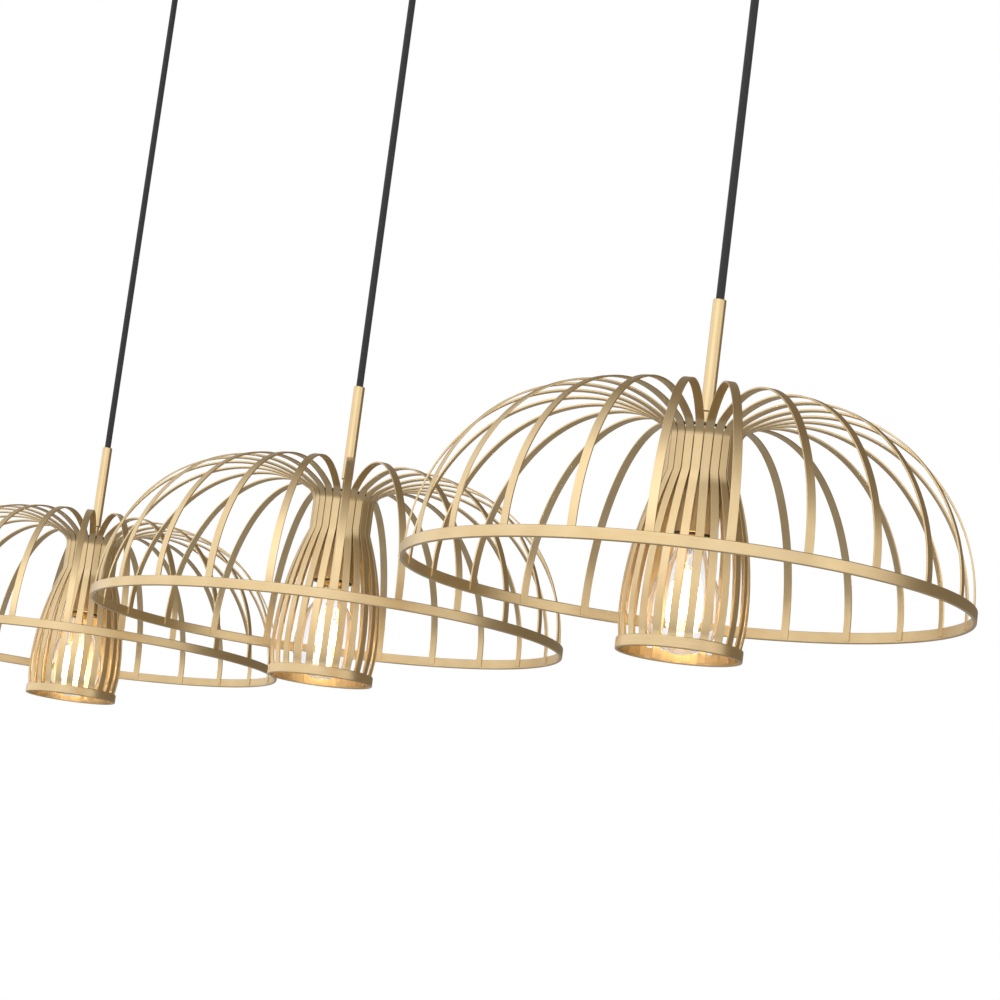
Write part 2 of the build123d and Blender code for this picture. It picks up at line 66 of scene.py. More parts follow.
STRIP_WIDTH = 7.0
STRIP_THICKNESS = 1.5
STRIP_CORNER = 0.28
RIB_COUNT = 24
RIB_PHASE = 3.8
HOOP_RADIUS = 228.6
HOOP_HEIGHT = 8.2
HOOP_WALL = 1.6
RING_RADIUS = 50.1
RING_HEIGHT = 8.2
RING_WALL = 1.2
RING_DROP = 50.0
RIB_END_LIFT = 1.5
WELD_CLEARANCE = 0.05
BULGE_RADIUS = 50.55
BULGE_DROP = 15.0
NECK_BOTTOM = 95.0
NECK_TOP = 122.0
NECK_STRIP_GAP = 0.43
APEX_RADIUS = 92.3
APEX_HEIGHT = 151.2
INNER_FLAT_TURN = 30.0
OUTER_FLAT_TURN = 45.0
ARC_STEP = 2.5                 # degrees of a bend between two stations of a strip
SLOPE_START = 0.4              # plumb run of a strip between a band and its bend

TUBE_RADIUS = 4.75
TUBE_BOTTOM = 148.0
TUBE_TOP = 240.0
TUBE_BORE_LOW = 3.58           # clear of the cord at the tube's foot
TUBE_BORE_HIGH = 3.53          # and at its mouth
STEM_RADIUS = 4.0
STEM_BORE = 2.2
STEM_BOTTOM = 107.6
STEM_TOP = 147.9
STEM_HOLE = 4.02               # hole for the stem in the collar and in the cup
COLLAR_WALL = 1.2
COLLAR_TOP = 121.5
WEB_BOTTOM = 119.5             # underside of the collar's web, where the cup seats
NECK_RING_SIZE = 2.0
CUP_RADIUS = 19.5
CUP_WALL = 1.0
CUP_BOTTOM = 47.2

BULB_RADIUS = 30.0
BULB_CENTRE = -19.0            # height of the bulb's widest place
BULB_SHOULDER = 75.0           # radius of the long curve towards the neck
BULB_NECK = 12.4
BULB_NECK_START = 38.0
BULB_TOP = 52.0
GLASS_WALL = 0.8
BASE_RADIUS = 13.0
BASE_BOTTOM = 41.5
BASE_THREAD_START = 44.5
BASE_THREAD_STEP = 0.3         # height between two rows of the thread's mesh
BASE_THREAD_ROWS = 56
BASE_PITCH = 3.6
CONTACT_RADIUS = 4.5
ROD_COUNT = 4
ROD_RADIUS = 1.5
ROD_TOP = 8.0
ROD_BOTTOM = -30.0
ROD_TOP_SPREAD = 12.3
ROD_BOTTOM_SPREAD = 13.0
CAP_RADIUS = 0.75              # metal caps on the rods' ends
WIRE_RADIUS = 0.35

BEAD_RADIUS = 0.42             # weld bead along each edge of a strip's end
BEAD_GAP = 0.10                # from the strip's edge to the bead's middle
BEAD_SEAT = 0.22               # from the band's inner face to the bead's middle
BEAD_LOW = 0.6                 # how far a bead stays inside the strip's end
BEAD_HIGH = 0.9                # and inside the band's upper edge
BEAD_WOBBLE = 0.35             # by which the beads' heights differ
DOME_STEPS = 4
EDGE_WIDTH = 0.25
SPIN_STEPS = 160
GRAIN_ROUND = 50.0             # grain length of one radian about Z
KNURL_TEETH = 36
KNURL_DEPTH = 0.22

# Metres from here on, in the frame of the whole part
CAMERA_PLACE = (2.63397, -1.32054, -1.28209)
CAMERA_HEADING = 150.446       # degrees from +X towards +Y
CAMERA_TILT = 9.626            # degrees above level
CAMERA_ROLL = 7.292            # degrees
FOCAL_PIXELS = 3063.5
FRAME_PIXELS = 1000
SENSOR_WIDTH = 36.0            # millimetres

STUDIO_SIDE = (0.15, -0.99, 0.0)    # towards the studio's wide soft light
STUDIO_FALL = 0.6              # how fast it fades towards the ceiling and the floor
STUDIO_DARK = (0.240, 0.205, 0.155)
STUDIO_BRIGHT = (1.27, 1.26, 1.24)
STUDIO_DARK_AT = -0.9          # how far a reflection faces the light where it is darkest
STUDIO_BRIGHT_AT = 0.35        # and where it is brightest
DIFFUSE_LIGHT = 0.55           # strength of the surroundings for diffuse rays
LIGHT_TARGET = (0.3, 0.0, -0.9)
KEY_PLACE = (2.0, -2.6, 1.2)
KEY_SIZE = 3.2
KEY_POWER = 14.0
FILL_PLACE = (3.0, 1.6, -0.4)
FILL_SIZE = 2.0
FILL_POWER = 8.0
BULB_POWER = 0.10
BULB_COLOUR = (1.0, 0.80, 0.50)
BULB_LIGHT_SIZE = 0.010
BULB_LIGHT_DROP = 0.010
FLOOR_HEIGHT = -1.9
FLOOR_SIZE = 14.0
FLOOR_GREY = 0.62
FLOOR_WHITE = 0.75             # share of plain white that the camera sees on the floor


# ------------------------------------------------------------------- helpers
def link(piece):
    bpy.context.scene.collection.objects.link(piece)
    return piece


def axis_of(letter):
    """Point on a shade's axis at the underside of its hoop, in metres."""
    return Vector((SHADES[letter] * MM, 0.0, -OVERALL_DROP * MM))


def mesh_of(name, points, faces, normals=None, grain=None, sharp=None):
    """Smooth mesh from millimetre points, with given normals or sharp edges by angle."""
    mesh = bpy.data.meshes.new(name)
    mesh.from_pydata([(x * MM, y * MM, z * MM) for x, y, z in points], [], faces)
    for face in mesh.polygons:
        face.use_smooth = True
        if normals:
            outward = sum((Vector(normals[index]) for index in face.vertices), Vector())
            if outward.dot(face.normal) < 0:
                face.flip()
    if grain:
        layer = mesh.uv_layers.new(name="grain")
        for loop in mesh.loops:
            layer.data[loop.index].uv = grain[loop.vertex_index]
    if sharp:
        mesh.set_sharp_from_angle(angle=math.radians(sharp))
    if normals:
        mesh.normals_split_custom_set_from_vertices(normals)
    return mesh


def merged(parts):
    """Join (points, faces, normals, grain) lists into one."""
    points, faces, normals, grain = [], [], [], []
    for part in parts:
        base = len(points)
        points += part[0]
        faces += [tuple(index + base for index in face) for face in part[1]]
        normals += part[2]
        grain += part[3]
    return points, faces, normals, grain


def stand_in(piece, body, node):
    """Let a piece ride a body and stand for a node."""
    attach(piece, body)
    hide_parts(node)
    return piece


def place(mesh, name, material, letter, body, node):
    """Object on a shade's axis that rides a body and stands for a node."""
    mesh.materials.append(material)
    piece = link(bpy.data.objects.new(name, mesh))
    piece.location = axis_of(letter)
    return stand_in(piece, body, node)


def rounded(corners, radius, steps=3):
    """Closed outline with rounded corners as (r, z, normal r, normal z)."""
    outline = []
    count = len(corners)
    for index, corner in enumerate(corners):
        here = Vector(corner)
        back = (Vector(corners[index - 1]) - here).normalized()
        ahead = (Vector(corners[(index + 1) % count]) - here).normalized()
        half = back.angle(ahead) / 2
        inset = radius / math.tan(half)
        centre = here + (back + ahead).normalized() * (radius / math.sin(half))
        first = here + back * inset - centre
        last = here + ahead * inset - centre
        for step in range(steps + 1):
            arm = first.slerp(last, step / steps)
            outline.append((*(centre + arm), *arm.normalized()))
    side = sum(a[0] * b[1] - b[0] * a[1] for a, b in zip(outline, outline[1:] + outline[:1]))
    return outline if side > 0 else outline[::-1]


def ring_faces(steps, rows):
    """Faces between the copies of a closed outline that is turned about Z."""
    faces = []
    for step in range(steps):
        near, far = step * rows, (step + 1) % steps * rows
        for row in range(rows):
            up = (row + 1) % rows
            faces.append((near + row, far + row, far + up, near + up))
    return faces


def spun(outline, steps=SPIN_STEPS):
    """Closed outline turned about Z, with its normals and its grain coordinates."""
    points, normals, grain = [], [], []
    rows = len(outline)
    for step in range(steps):
        turn = math.tau * step / steps
        cosine, sine = math.cos(turn), math.sin(turn)
        for r, z, nr, nz in outline:
            points.append((r * cosine, r * sine, z))
            normals.append((nr * cosine, nr * sine, nz))
            grain.append((turn * GRAIN_ROUND, z + r))
    return points, ring_faces(steps, rows), normals, grain


def lathe(name, corners, radius=EDGE_WIDTH, steps=SPIN_STEPS):
    """Smooth turned piece with rounded corners."""
    return mesh_of(name, *spun(rounded(corners, radius), steps)[:3])


def whorl(rows, steps, dip, middle=0.0):
    """Closed outline of (r, z, marked) turned about Z; dip(z, turn) sinks its marked rows."""
    points = []
    for step in range(steps):
        turn = math.tau * step / steps
        for r, z, marked in rows:
            reach = r - dip(z, turn) if marked else r
            points.append((middle + reach * math.cos(turn), reach * math.sin(turn), z))
    return points, ring_faces(steps, len(rows)), [], []


def tube_between(start, end, radius, sides):
    """Round rod between two points, with domed ends."""
    start, end = Vector(start), Vector(end)
    along = (end - start).normalized()
    across = along.orthogonal().normalized()
    other = along.cross(across)
    arcs = [math.pi / 2 * step / DOME_STEPS for step in range(DOME_STEPS)]
    dome = [(math.cos(arc), math.sin(arc)) for arc in arcs]
    stations = [(start, -lift, size) for lift, size in dome]
    stations += [(start, 0.0, 1.0), (end, 0.0, 1.0)]
    stations += [(end, lift, size) for lift, size in dome[::-1]]
    points, normals, faces, grain = [], [], [], []
    for centre, lift, size in stations:
        for side in range(sides):
            turn = math.tau * side / sides
            arm = across * math.cos(turn) + other * math.sin(turn)
            points.append(tuple(centre + arm * radius * max(size, 0.02) + along * lift * radius))
            normals.append(tuple((arm * size + along * lift).normalized()))
            grain.append((side, lift))
    for row in range(len(stations) - 1):
        for side in range(sides):
            ahead = (side + 1) % sides
            base = row * sides
            faces.append((base + side, base + ahead, base + sides + ahead, base + sides + side))
    faces.append(tuple(range(sides - 1, -1, -1)))
    faces.append(tuple(range((len(stations) - 1) * sides, len(stations) * sides)))
    return points, faces, normals, grain


def dressed(node, name, origin, material, bevel=EDGE_WIDTH):
    """Copy of a node's mesh about a point in metres, with softened edges."""
    source = frame["nodes"][node]
    mesh = source.data.copy()
    mesh.name = name
    mesh.transform(source.matrix_world)
    mesh.transform(Matrix.Translation(-Vector(origin)))
    worker = bmesh.new()
    worker.from_mesh(mesh)
    bmesh.ops.remove_doubles(worker, verts=worker.verts, dist=1e-6)
    bmesh.ops.dissolve_limit(worker, angle_limit=math.radians(0.5), verts=worker.verts,
                             edges=worker.edges)
    worker.to_mesh(mesh)
    worker.free()
    mesh.materials.clear()
    mesh.materials.append(material)
    for face in mesh.polygons:
        face.use_smooth = True
    piece = link(bpy.data.objects.new(name, mesh))
    piece.location = origin
    soften = piece.modifiers.new("edges", "BEVEL")
    soften.width = bevel * MM
    soften.segments = 2
    soften.limit_method = "ANGLE"
    soften.angle_limit = math.radians(35)
    flatten = piece.modifiers.new("flat faces", "WEIGHTED_NORMAL")
    flatten.weight = 80
    return piece


# ------------------------------------------------------- route of a bent strip
def quarter_radii(across, down, flat_turn):
    """Radii of two tangent arcs that turn a level line to a plumb one."""
    sine = math.sin(math.radians(flat_turn))
    cosine = math.cos(math.radians(flat_turn))
    span = sine * cosine - (1 - sine) * (1 - cosine)
    flat = (across * cosine - down * (1 - sine)) / span
    steep = (down * sine - across * (1 - cosine)) / span
    return flat, steep


def arc_stations(centre, radius, first, last):
    """Stations (r, z, tangent r, tangent z) along an arc, angles in degrees."""
    count = max(2, math.ceil(abs(last - first) / ARC_STEP))
    way = 1.0 if last > first else -1.0
    stations = []
    for step in range(count + 1):
        turn = math.radians(first + (last - first) * step / count)
        stations.append((centre[0] + radius * math.cos(turn), centre[1] + radius * math.sin(turn),
                         -math.sin(turn) * way, math.cos(turn) * way))
    return stations


def bulge_arc(end):
    """Centre, radius and turn of an arc from the widest place to an end."""
    inward = BULGE_RADIUS - end[0]
    rise = end[1] + BULGE_DROP
    radius = (inward ** 2 + rise ** 2) / (2 * inward)
    return (BULGE_RADIUS - radius, -BULGE_DROP), radius, math.degrees(math.asin(rise / radius))


def seat_line(inner):
    """Radius of a strip's middle where its edges touch inside a round band."""
    return math.sqrt((inner - WELD_CLEARANCE) ** 2 - (STRIP_WIDTH / 2) ** 2) - STRIP_THICKNESS / 2


HOOP_LINE = seat_line(HOOP_RADIUS - HOOP_WALL)
RING_LINE = seat_line(RING_RADIUS - RING_WALL)
NECK_FACE = (STRIP_WIDTH + NECK_STRIP_GAP) / (2 * math.tan(math.pi / RIB_COUNT))
NECK_LINE = NECK_FACE + STRIP_THICKNESS / 2


def rib_stations():
    """Stations of one strip from the bottom ring up and over to the hoop."""
    ring_top = RING_HEIGHT - RING_DROP
    flat_in, steep_in = quarter_radii(APEX_RADIUS - NECK_LINE, APEX_HEIGHT - NECK_TOP,
                                      INNER_FLAT_TURN)
    flat_out, steep_out = quarter_radii(HOOP_LINE - APEX_RADIUS, APEX_HEIGHT - HOOP_HEIGHT,
                                        OUTER_FLAT_TURN)
    low = bulge_arc((RING_LINE, ring_top))
    high = bulge_arc((NECK_LINE, NECK_BOTTOM))
    inner_turn, outer_turn = 90.0 + INNER_FLAT_TURN, 90.0 - OUTER_FLAT_TURN
    stations = [(RING_LINE, RIB_END_LIFT - RING_DROP, 0.0, 1.0),
                (RING_LINE, ring_top - SLOPE_START, 0.0, 1.0)]
    stations += arc_stations(low[0], low[1], low[2], 0.0)[1:]
    stations += arc_stations(high[0], high[1], 0.0, high[2])[1:-1]
    stations += [(NECK_LINE, NECK_BOTTOM + SLOPE_START, 0.0, 1.0), (NECK_LINE, NECK_TOP, 0.0, 1.0)]
    for centre, radius, first, last in (
            ((NECK_LINE + steep_in, NECK_TOP), steep_in, 180.0, inner_turn),
            ((APEX_RADIUS, APEX_HEIGHT - flat_in), flat_in, inner_turn, 90.0),
            ((APEX_RADIUS, APEX_HEIGHT - flat_out), flat_out, 90.0, outer_turn),
            ((HOOP_LINE - steep_out, HOOP_HEIGHT), steep_out, outer_turn, 0.0)):
        stations += arc_stations(centre, radius, first, last)[1:]
    stations.append((HOOP_LINE, RIB_END_LIFT, 0.0, -1.0))
    return stations


def strip_section():
    """Rounded flat section as (across, out, normal across, normal out)."""
    wide = STRIP_WIDTH / 2 - STRIP_CORNER
    thick = STRIP_THICKNESS / 2 - STRIP_CORNER
    section = []
    for side, face, start in ((1, 1, 0), (-1, 1, 90), (-1, -1, 180), (1, -1, 270)):
        for step in range(3):
            turn = math.radians(start + 45 * step)
            cosine, sine = math.cos(turn), math.sin(turn)
            section.append((side * wide + STRIP_CORNER * cosine, face * thick + STRIP_CORNER * sine,
                            cosine, sine))
    return section


def ribs_mesh():
    """All the strips of one shade, each swept along the same bent route."""
    stations = rib_stations()
    section = strip_section()
    size = len(section)
    travel = [0.0]
    for near, far in zip(stations, stations[1:]):
        travel.append(travel[-1] + math.dist(near[:2], far[:2]))
    parts = []
    for rib in range(RIB_COUNT):
        turn = math.radians(RIB_PHASE + 360.0 * rib / RIB_COUNT)
        cosine, sine = math.cos(turn), math.sin(turn)
        points, normals, faces, grain = [], [], [], []
        for (r, z, tangent_r, tangent_z), run in zip(stations, travel):
            for across, out, normal_across, normal_out in section:
                reach = r + out * tangent_z
                points.append((reach * cosine - across * sine, reach * sine + across * cosine,
                               z - out * tangent_r))
                level = normal_out * tangent_z
                normals.append((level * cosine - normal_across * sine,
                                level * sine + normal_across * cosine, -normal_out * tangent_r))
                grain.append((across + 9.0 * rib + 4.0 * out, run))
        for row in range(len(stations) - 1):
            for column in range(size):
                ahead = (column + 1) % size
                base = row * size
                faces.append((base + column, base + ahead, base + size + ahead, base + size + column))
        for row, order in ((0, -1), (len(stations) - 1, 1)):
            base = len(points)
            tangent_r, tangent_z = stations[row][2:]
            points += points[row * size:(row + 1) * size]
            normals += [(order * tangent_r * cosine, order * tangent_r * sine, order * tangent_z)] * size
            grain += grain[row * size:(row + 1) * size]
            faces.append(tuple(range(base, base + size))[::order])
        parts.append((points, faces, normals, grain))
    return mesh_of("strips", *merged(parts))


def weld_beads(name, band_inner, low, high):
    """Weld beads along both edges of every strip's end, against the band's inner face."""
    parts = []
    for rib in range(RIB_COUNT):
        turn = math.radians(RIB_PHASE + 360.0 * rib / RIB_COUNT)
        cosine, sine = math.cos(turn), math.sin(turn)
        for side in (-1, 1):
            wobble = BEAD_WOBBLE * math.sin(7.3 * rib + 2.1 * side)
            across = side * (STRIP_WIDTH / 2 + BEAD_GAP)
            reach = math.sqrt(band_inner ** 2 - across ** 2) - BEAD_SEAT
            spot = (reach * cosine - across * sine, reach * sine + across * cosine)
            parts.append(tube_between((*spot, low + BEAD_LOW + wobble),
                                      (*spot, high - BEAD_HIGH + wobble), BEAD_RADIUS, 8))
    return mesh_of(name, *merged(parts)[:3])


# ----------------------------------------------------------------- materials
def new_material(name):
    """Empty node material with its shader and its object coordinates."""
    material = bpy.data.materials.new(name)
    material.use_nodes = True
    nodes = material.node_tree.nodes
    shader = nodes["Principled BSDF"]
    coordinates = nodes.new("ShaderNodeTexCoord")
    return material, nodes, material.node_tree.links, shader, coordinates.outputs["Object"]


def feed(links, sockets, values):
    """Set each socket to a number, or link it; None leaves it alone."""
    for socket, value in zip(sockets, values):
        if isinstance(value, (int, float)):
            socket.default_value = value
        elif value is not None:
            links.new(value, socket)


def math_node(nodes, links, operation, first, second=None):
    node = nodes.new("ShaderNodeMath")
    node.operation = operation
    feed(links, node.inputs, (first, second))
    return node.outputs[0]


def times(nodes, links, first, second):
    """Product of two values."""
    return math_node(nodes, links, "MULTIPLY", first, second)


def noise(nodes, links, vector, scale, detail=2.0, roughness=0.5):
    node = nodes.new("ShaderNodeTexNoise")
    node.inputs["Scale"].default_value = scale
    node.inputs["Detail"].default_value = detail
    node.inputs["Roughness"].default_value = roughness
    links.new(vector, node.inputs["Vector"])
    return node.outputs["Fac"]


def ramp(nodes, links, factor, stops):
    node = nodes.new("ShaderNodeValToRGB")
    elements = node.color_ramp.elements
    while len(elements) < len(stops):
        elements.new(0.5)
    for element, (position, colour) in zip(elements, stops):
        element.position = position
        element.color = (*colour, 1.0)
    links.new(factor, node.inputs["Fac"])
    return node.outputs["Color"]


def spread(nodes, links, value, low, high, start=0.0, stop=1.0, kind="LINEAR"):
    """Map a value from one range to another."""
    node = nodes.new("ShaderNodeMapRange")
    node.interpolation_type = kind
    node.inputs["From Min"].default_value = start
    node.inputs["From Max"].default_value = stop
    node.inputs["To Min"].default_value = low
    node.inputs["To Max"].default_value = high
    links.new(value, node.inputs["Value"])
    return node.outputs["Result"]


def bump(nodes, links, shader, height, strength, distance):
    node = nodes.new("ShaderNodeBump")
    node.inputs["Strength"].default_value = strength
    node.inputs["Distance"].default_value = distance
    links.new(height, node.inputs["Height"])
    links.new(node.outputs["Normal"], shader.inputs["Normal"])


def split_xyz(nodes, links, vector):
    node = nodes.new("ShaderNodeSeparateXYZ")
    links.new(vector, node.inputs[0])
    return node.outputs


def join_xyz(nodes, links, x, y, z):
    node = nodes.new("ShaderNodeCombineXYZ")
    feed(links, node.inputs, (x, y, z))
    return node.outputs[0]


def around(nodes, links, point, along, across, upward):
    """Length round the Z axis, reach from the axis and height, each scaled."""
    x, y, z = split_xyz(nodes, links, point)
    turn = math_node(nodes, links, "ARCTAN2", y, x)
    square = math_node(nodes, links, "ADD", times(nodes, links, x, x), times(nodes, links, y, y))
    radius = math_node(nodes, links, "SQRT", square)
    arc = times(nodes, links, turn, radius)
    return join_xyz(nodes, links, times(nodes, links, arc, along),
                    times(nodes, links, radius, across), times(nodes, links, z, upward))


def along_strip(nodes, links, across, along):
    """Grain coordinates of the bent strips, in millimetres, each scaled."""
    node = nodes.new("ShaderNodeUVMap")
    node.uv_map = "grain"
    u, v = split_xyz(nodes, links, node.outputs["UV"])[:2]
    return join_xyz(nodes, links, times(nodes, links, u, across), times(nodes, links, v, along), 0.0)


def brushed_gold(name, grain, tone_and_shade=1.0, roughness=0.30, run="round", relief=0.10):
    """Satin champagne gold with a fine brushed grain and slow colour changes.

    run says how the grain lies: along a bent strip, round the Z axis, or straight.
    """
    material, nodes, links, shader, point = new_material(name)
    if run == "strip":
        route = along_strip(nodes, links, *grain)
    elif run == "round":
        route = around(nodes, links, point, *grain)
    else:
        route = join_xyz(nodes, links, *(times(nodes, links, value, scale)
                                         for value, scale in zip(split_xyz(nodes, links, point), grain)))
    streaks = noise(nodes, links, route, 1.0, 3.0, 0.6)
    clouds = noise(nodes, links, point, 26.0, 2.0)
    # This factor scales the whole colour down: a real darker tone for the weld beads, painted shade for
    # the neck and the socket cup.
    dark = tuple(channel * tone_and_shade for channel in GOLD_DARK)
    light = tuple(channel * tone_and_shade for channel in GOLD_LIGHT)
    blend = math_node(nodes, links, "ADD", times(nodes, links, streaks, 0.5),
                      times(nodes, links, clouds, 0.5))
    links.new(ramp(nodes, links, blend, [(0.30, dark), (0.70, light)]), shader.inputs["Base Color"])
    links.new(spread(nodes, links, streaks, roughness - 0.05, roughness + 0.07),
              shader.inputs["Roughness"])
    shader.inputs["Metallic"].default_value = 1.0
    bump(nodes, links, shader, streaks, relief, 0.0001)
    return material


def braided_cord():
    """Black braid: flat strands that pass over and under each other."""
    material, nodes, links, shader, point = new_material("black_braid")
    x, y, z = split_xyz(nodes, links, point)
    turn = times(nodes, links, math_node(nodes, links, "ARCTAN2", y, x), BRAID_STRANDS / math.tau)
    climb = times(nodes, links, z, BRAID_STRANDS / (BRAID_PITCH * MM))
    heights, cells = [], []
    for way in ("ADD", "SUBTRACT"):
        lane = math_node(nodes, links, way, turn, climb)
        cells.append(math_node(nodes, links, "FLOOR", lane))
        offset = math_node(nodes, links, "SUBTRACT", math_node(nodes, links, "FRACT", lane), 0.5)
        fourfold = times(nodes, links, times(nodes, links, offset, offset), 4.0)
        heights.append(math_node(nodes, links, "SUBTRACT", 1.0, fourfold))
    parity = math_node(nodes, links, "FLOORED_MODULO", math_node(nodes, links, "ADD", *cells), 2.0)
    over, under = (times(nodes, links, math_node(nodes, links, "SQRT", top),
                         spread(nodes, links, other, 0.35, 1.0))
                   for top, other in (heights, heights[::-1]))
    evenness = math_node(nodes, links, "SUBTRACT", 1.0, parity)
    weave = math_node(nodes, links, "ADD", times(nodes, links, over, parity),
                      times(nodes, links, under, evenness))
    fuzz = noise(nodes, links, point, 3200.0, 3.0, 0.7)
    both = math_node(nodes, links, "ADD", times(nodes, links, weave, 0.8),
                     times(nodes, links, fuzz, 0.3))
    colour = ramp(nodes, links, both, [(0.25, CORD_SHADOW), (0.95, CORD_SHEEN)])
    links.new(colour, shader.inputs["Base Color"])
    shader.inputs["Roughness"].default_value = 0.55
    shader.inputs["Specular IOR Level"].default_value = 0.35
    bump(nodes, links, shader, both, 0.9, 0.0007)
    return material


def plain_metal(name, dark, light, roughness, scale):
    """Zinc or brass hardware with a faint tumbled finish."""
    material, nodes, links, shader, point = new_material(name)
    mottle = noise(nodes, links, point, scale, 3.0, 0.6)
    links.new(ramp(nodes, links, mottle, [(0.3, dark), (0.7, light)]), shader.inputs["Base Color"])
    links.new(spread(nodes, links, mottle, roughness - 0.08, roughness + 0.08),
              shader.inputs["Roughness"])
    shader.inputs["Metallic"].default_value = 1.0
    bump(nodes, links, shader, mottle, 0.15, 0.0001)
    return material


def phenolic():
    """Dark moulded insulator."""
    material, nodes, links, shader, point = new_material("phenolic")
    flecks = noise(nodes, links, point, 900.0, 3.0, 0.7)
    links.new(ramp(nodes, links, flecks, [(0.35, (0.010, 0.008, 0.007)), (0.7, (0.035, 0.028, 0.024))]),
              shader.inputs["Base Color"])
    links.new(spread(nodes, links, flecks, 0.38, 0.55), shader.inputs["Roughness"])
    bump(nodes, links, shader, flecks, 0.2, 0.0001)
    return material


def clear_glass(name, ripple, bend=1.48, cover=1.0):
    """Clear glass with a faint blown waviness; bend is its index, cover its opacity."""
    material, nodes, links, shader, point = new_material(name)
    waves = noise(nodes, links, point, ripple, 1.0)
    shader.inputs["Transmission Weight"].default_value = 1.0
    shader.inputs["IOR"].default_value = bend
    shader.inputs["Alpha"].default_value = cover
    links.new(ramp(nodes, links, waves, [(0.3, (0.955, 0.960, 0.985)), (0.7, (0.985, 0.985, 1.0))]),
              shader.inputs["Base Color"])
    links.new(spread(nodes, links, waves, 0.0, 0.02), shader.inputs["Roughness"])
    bump(nodes, links, shader, waves, 0.25, 0.0006)
    return material


def glowing(name, colour, strength):
    """Warm coated rod that gives light."""
    material, nodes, links, shader, point = new_material(name)
    grain = noise(nodes, links, point, 700.0, 2.0)
    warm = tuple(channel * 0.85 for channel in colour)
    links.new(ramp(nodes, links, grain, [(0.3, warm), (0.7, colour)]), shader.inputs["Emission Color"])
    shader.inputs["Emission Strength"].default_value = strength
    shader.inputs["Base Color"].default_value = (*colour, 1.0)
    shader.inputs["Roughness"].default_value = 0.5
    return material


GOLD_DARK = (0.610, 0.452, 0.240)
GOLD_LIGHT = (0.752, 0.588, 0.350)
CORD_SHADOW = (0.005, 0.005, 0.005)
CORD_SHEEN = (0.105, 0.105, 0.108)
GOLD_STRIP = brushed_gold("gold_strip", (2.2, 0.05), run="strip", relief=0.03)
GOLD_BAND = brushed_gold("gold_band", (50.0, 1800.0, 3600.0), relief=0.03)
GOLD_TUBE = brushed_gold("gold_tube", (700.0, 100.0, 6.0), roughness=0.27, relief=0.05)
GOLD_WELD = brushed_gold("gold_weld", (900.0, 900.0, 900.0), tone_and_shade=0.85, roughness=0.42)
# Darker copy of the strips' gold: painted shade on the collar and the neck ring, which sit in shade
# between the neck's strips
GOLD_NECK_PAINTED_SHADE = brushed_gold("gold_neck_painted_shade", (80.0, 400.0, 1500.0), tone_and_shade=0.22, roughness=0.40)
CORD_BLACK = braided_cord()
STEEL = plain_metal("zinc_steel", (0.50, 0.50, 0.52), (0.66, 0.66, 0.68), 0.35, 400.0)
BRASS = plain_metal("rolled_brass", (0.55, 0.38, 0.14), (0.72, 0.52, 0.22), 0.28, 300.0)
NICKEL = plain_metal("nickel_wire", (0.66, 0.58, 0.42), (0.86, 0.80, 0.64), 0.25, 900.0)
PHENOLIC = phenolic()
GLASS = clear_glass("clear_glass", 45.0)
GLASS_MOUNT = clear_glass("mount_glass", 240.0, bend=1.2, cover=0.25)
FILAMENT_GLOW = glowing("filament_glow", (1.0, 0.86, 0.60), 12.0)
GOLD_CANOPY = brushed_gold("gold_canopy", (14.0, 1600.0, 1600.0), roughness=0.32, run="straight")
# Darker copy of the strips' gold: painted shade on the socket cup inside the cage
GOLD_CUP_PAINTED_SHADE = brushed_gold("gold_cup_painted_shade", (40.0, 300.0, 1500.0), tone_and_shade=0.72, roughness=0.34)

# Nodes that keep their own mesh: once in the canopy, and once for each shade
CARRIED_OVER = {
    "crossbar": STEEL, "canopy_posts": STEEL, "ground_screw": STEEL, "grip_nuts": STEEL,
}
CARRIED_OVER_EACH = {
    "swivel_ring": STEEL, "cord_crimps": STEEL, "stem_nuts": GOLD_TUBE, "socket_holder": PHENOLIC,
    "socket_shell": BRASS,
}


# ------------------------------------------------------------------ the parts
def paint(node, material):
    """Give a node that keeps its own mesh its material."""
    data = frame["nodes"][node].data
    data.materials.clear()
    data.materials.append(material)


def canopy():
    """Tray and cap nuts with softened edges; the hardware inside keeps its mesh."""
    for node, material in CARRIED_OVER.items():
        paint(node, material)
    tray = dressed("canopy_tray", "canopy_tray_dressed", (0.0, 0.0, 0.0), GOLD_CANOPY, 0.6)
    stand_in(tray, "canopy", "canopy_tray")
    stand_in(cap_nuts(), "canopy", "cap_nuts")


def cap_nuts():
    """Two round nuts with a knurled rim and a domed underside."""
    low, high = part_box("cap_nuts")
    radius = (high[1] - low[1]) / 2 / MM
    top = high[2] / MM
    bottom = low[2] / MM

    def knurl(z, turn):
        return KNURL_DEPTH * (0.5 - 0.5 * math.cos(KNURL_TEETH * turn))

    rows = [(0.02, bottom, 0), (radius * 0.45, bottom + 0.05, 0), (radius * 0.75, bottom + 0.45, 0),
            (radius * 0.92, bottom + 1.2, 0), (radius - 0.12, bottom + 2.0, 0),
            (radius, bottom + 2.4, 1), (radius, top - 1.2, 1), (radius - 0.12, top - 0.8, 0),
            (radius - 0.4, top, 0), (2.1, top, 0), (2.1, bottom + 2.5, 0), (0.02, bottom + 2.5, 0)]
    parts = [whorl(rows, KNURL_TEETH * 4, knurl, middle)
             for middle in (low[0] / MM + radius, high[0] / MM - radius)]
    mesh = mesh_of("cap_nuts_knurled", *merged(parts)[:2], sharp=50)
    mesh.materials.append(GOLD_TUBE)
    return link(bpy.data.objects.new("cap_nuts_knurled", mesh))


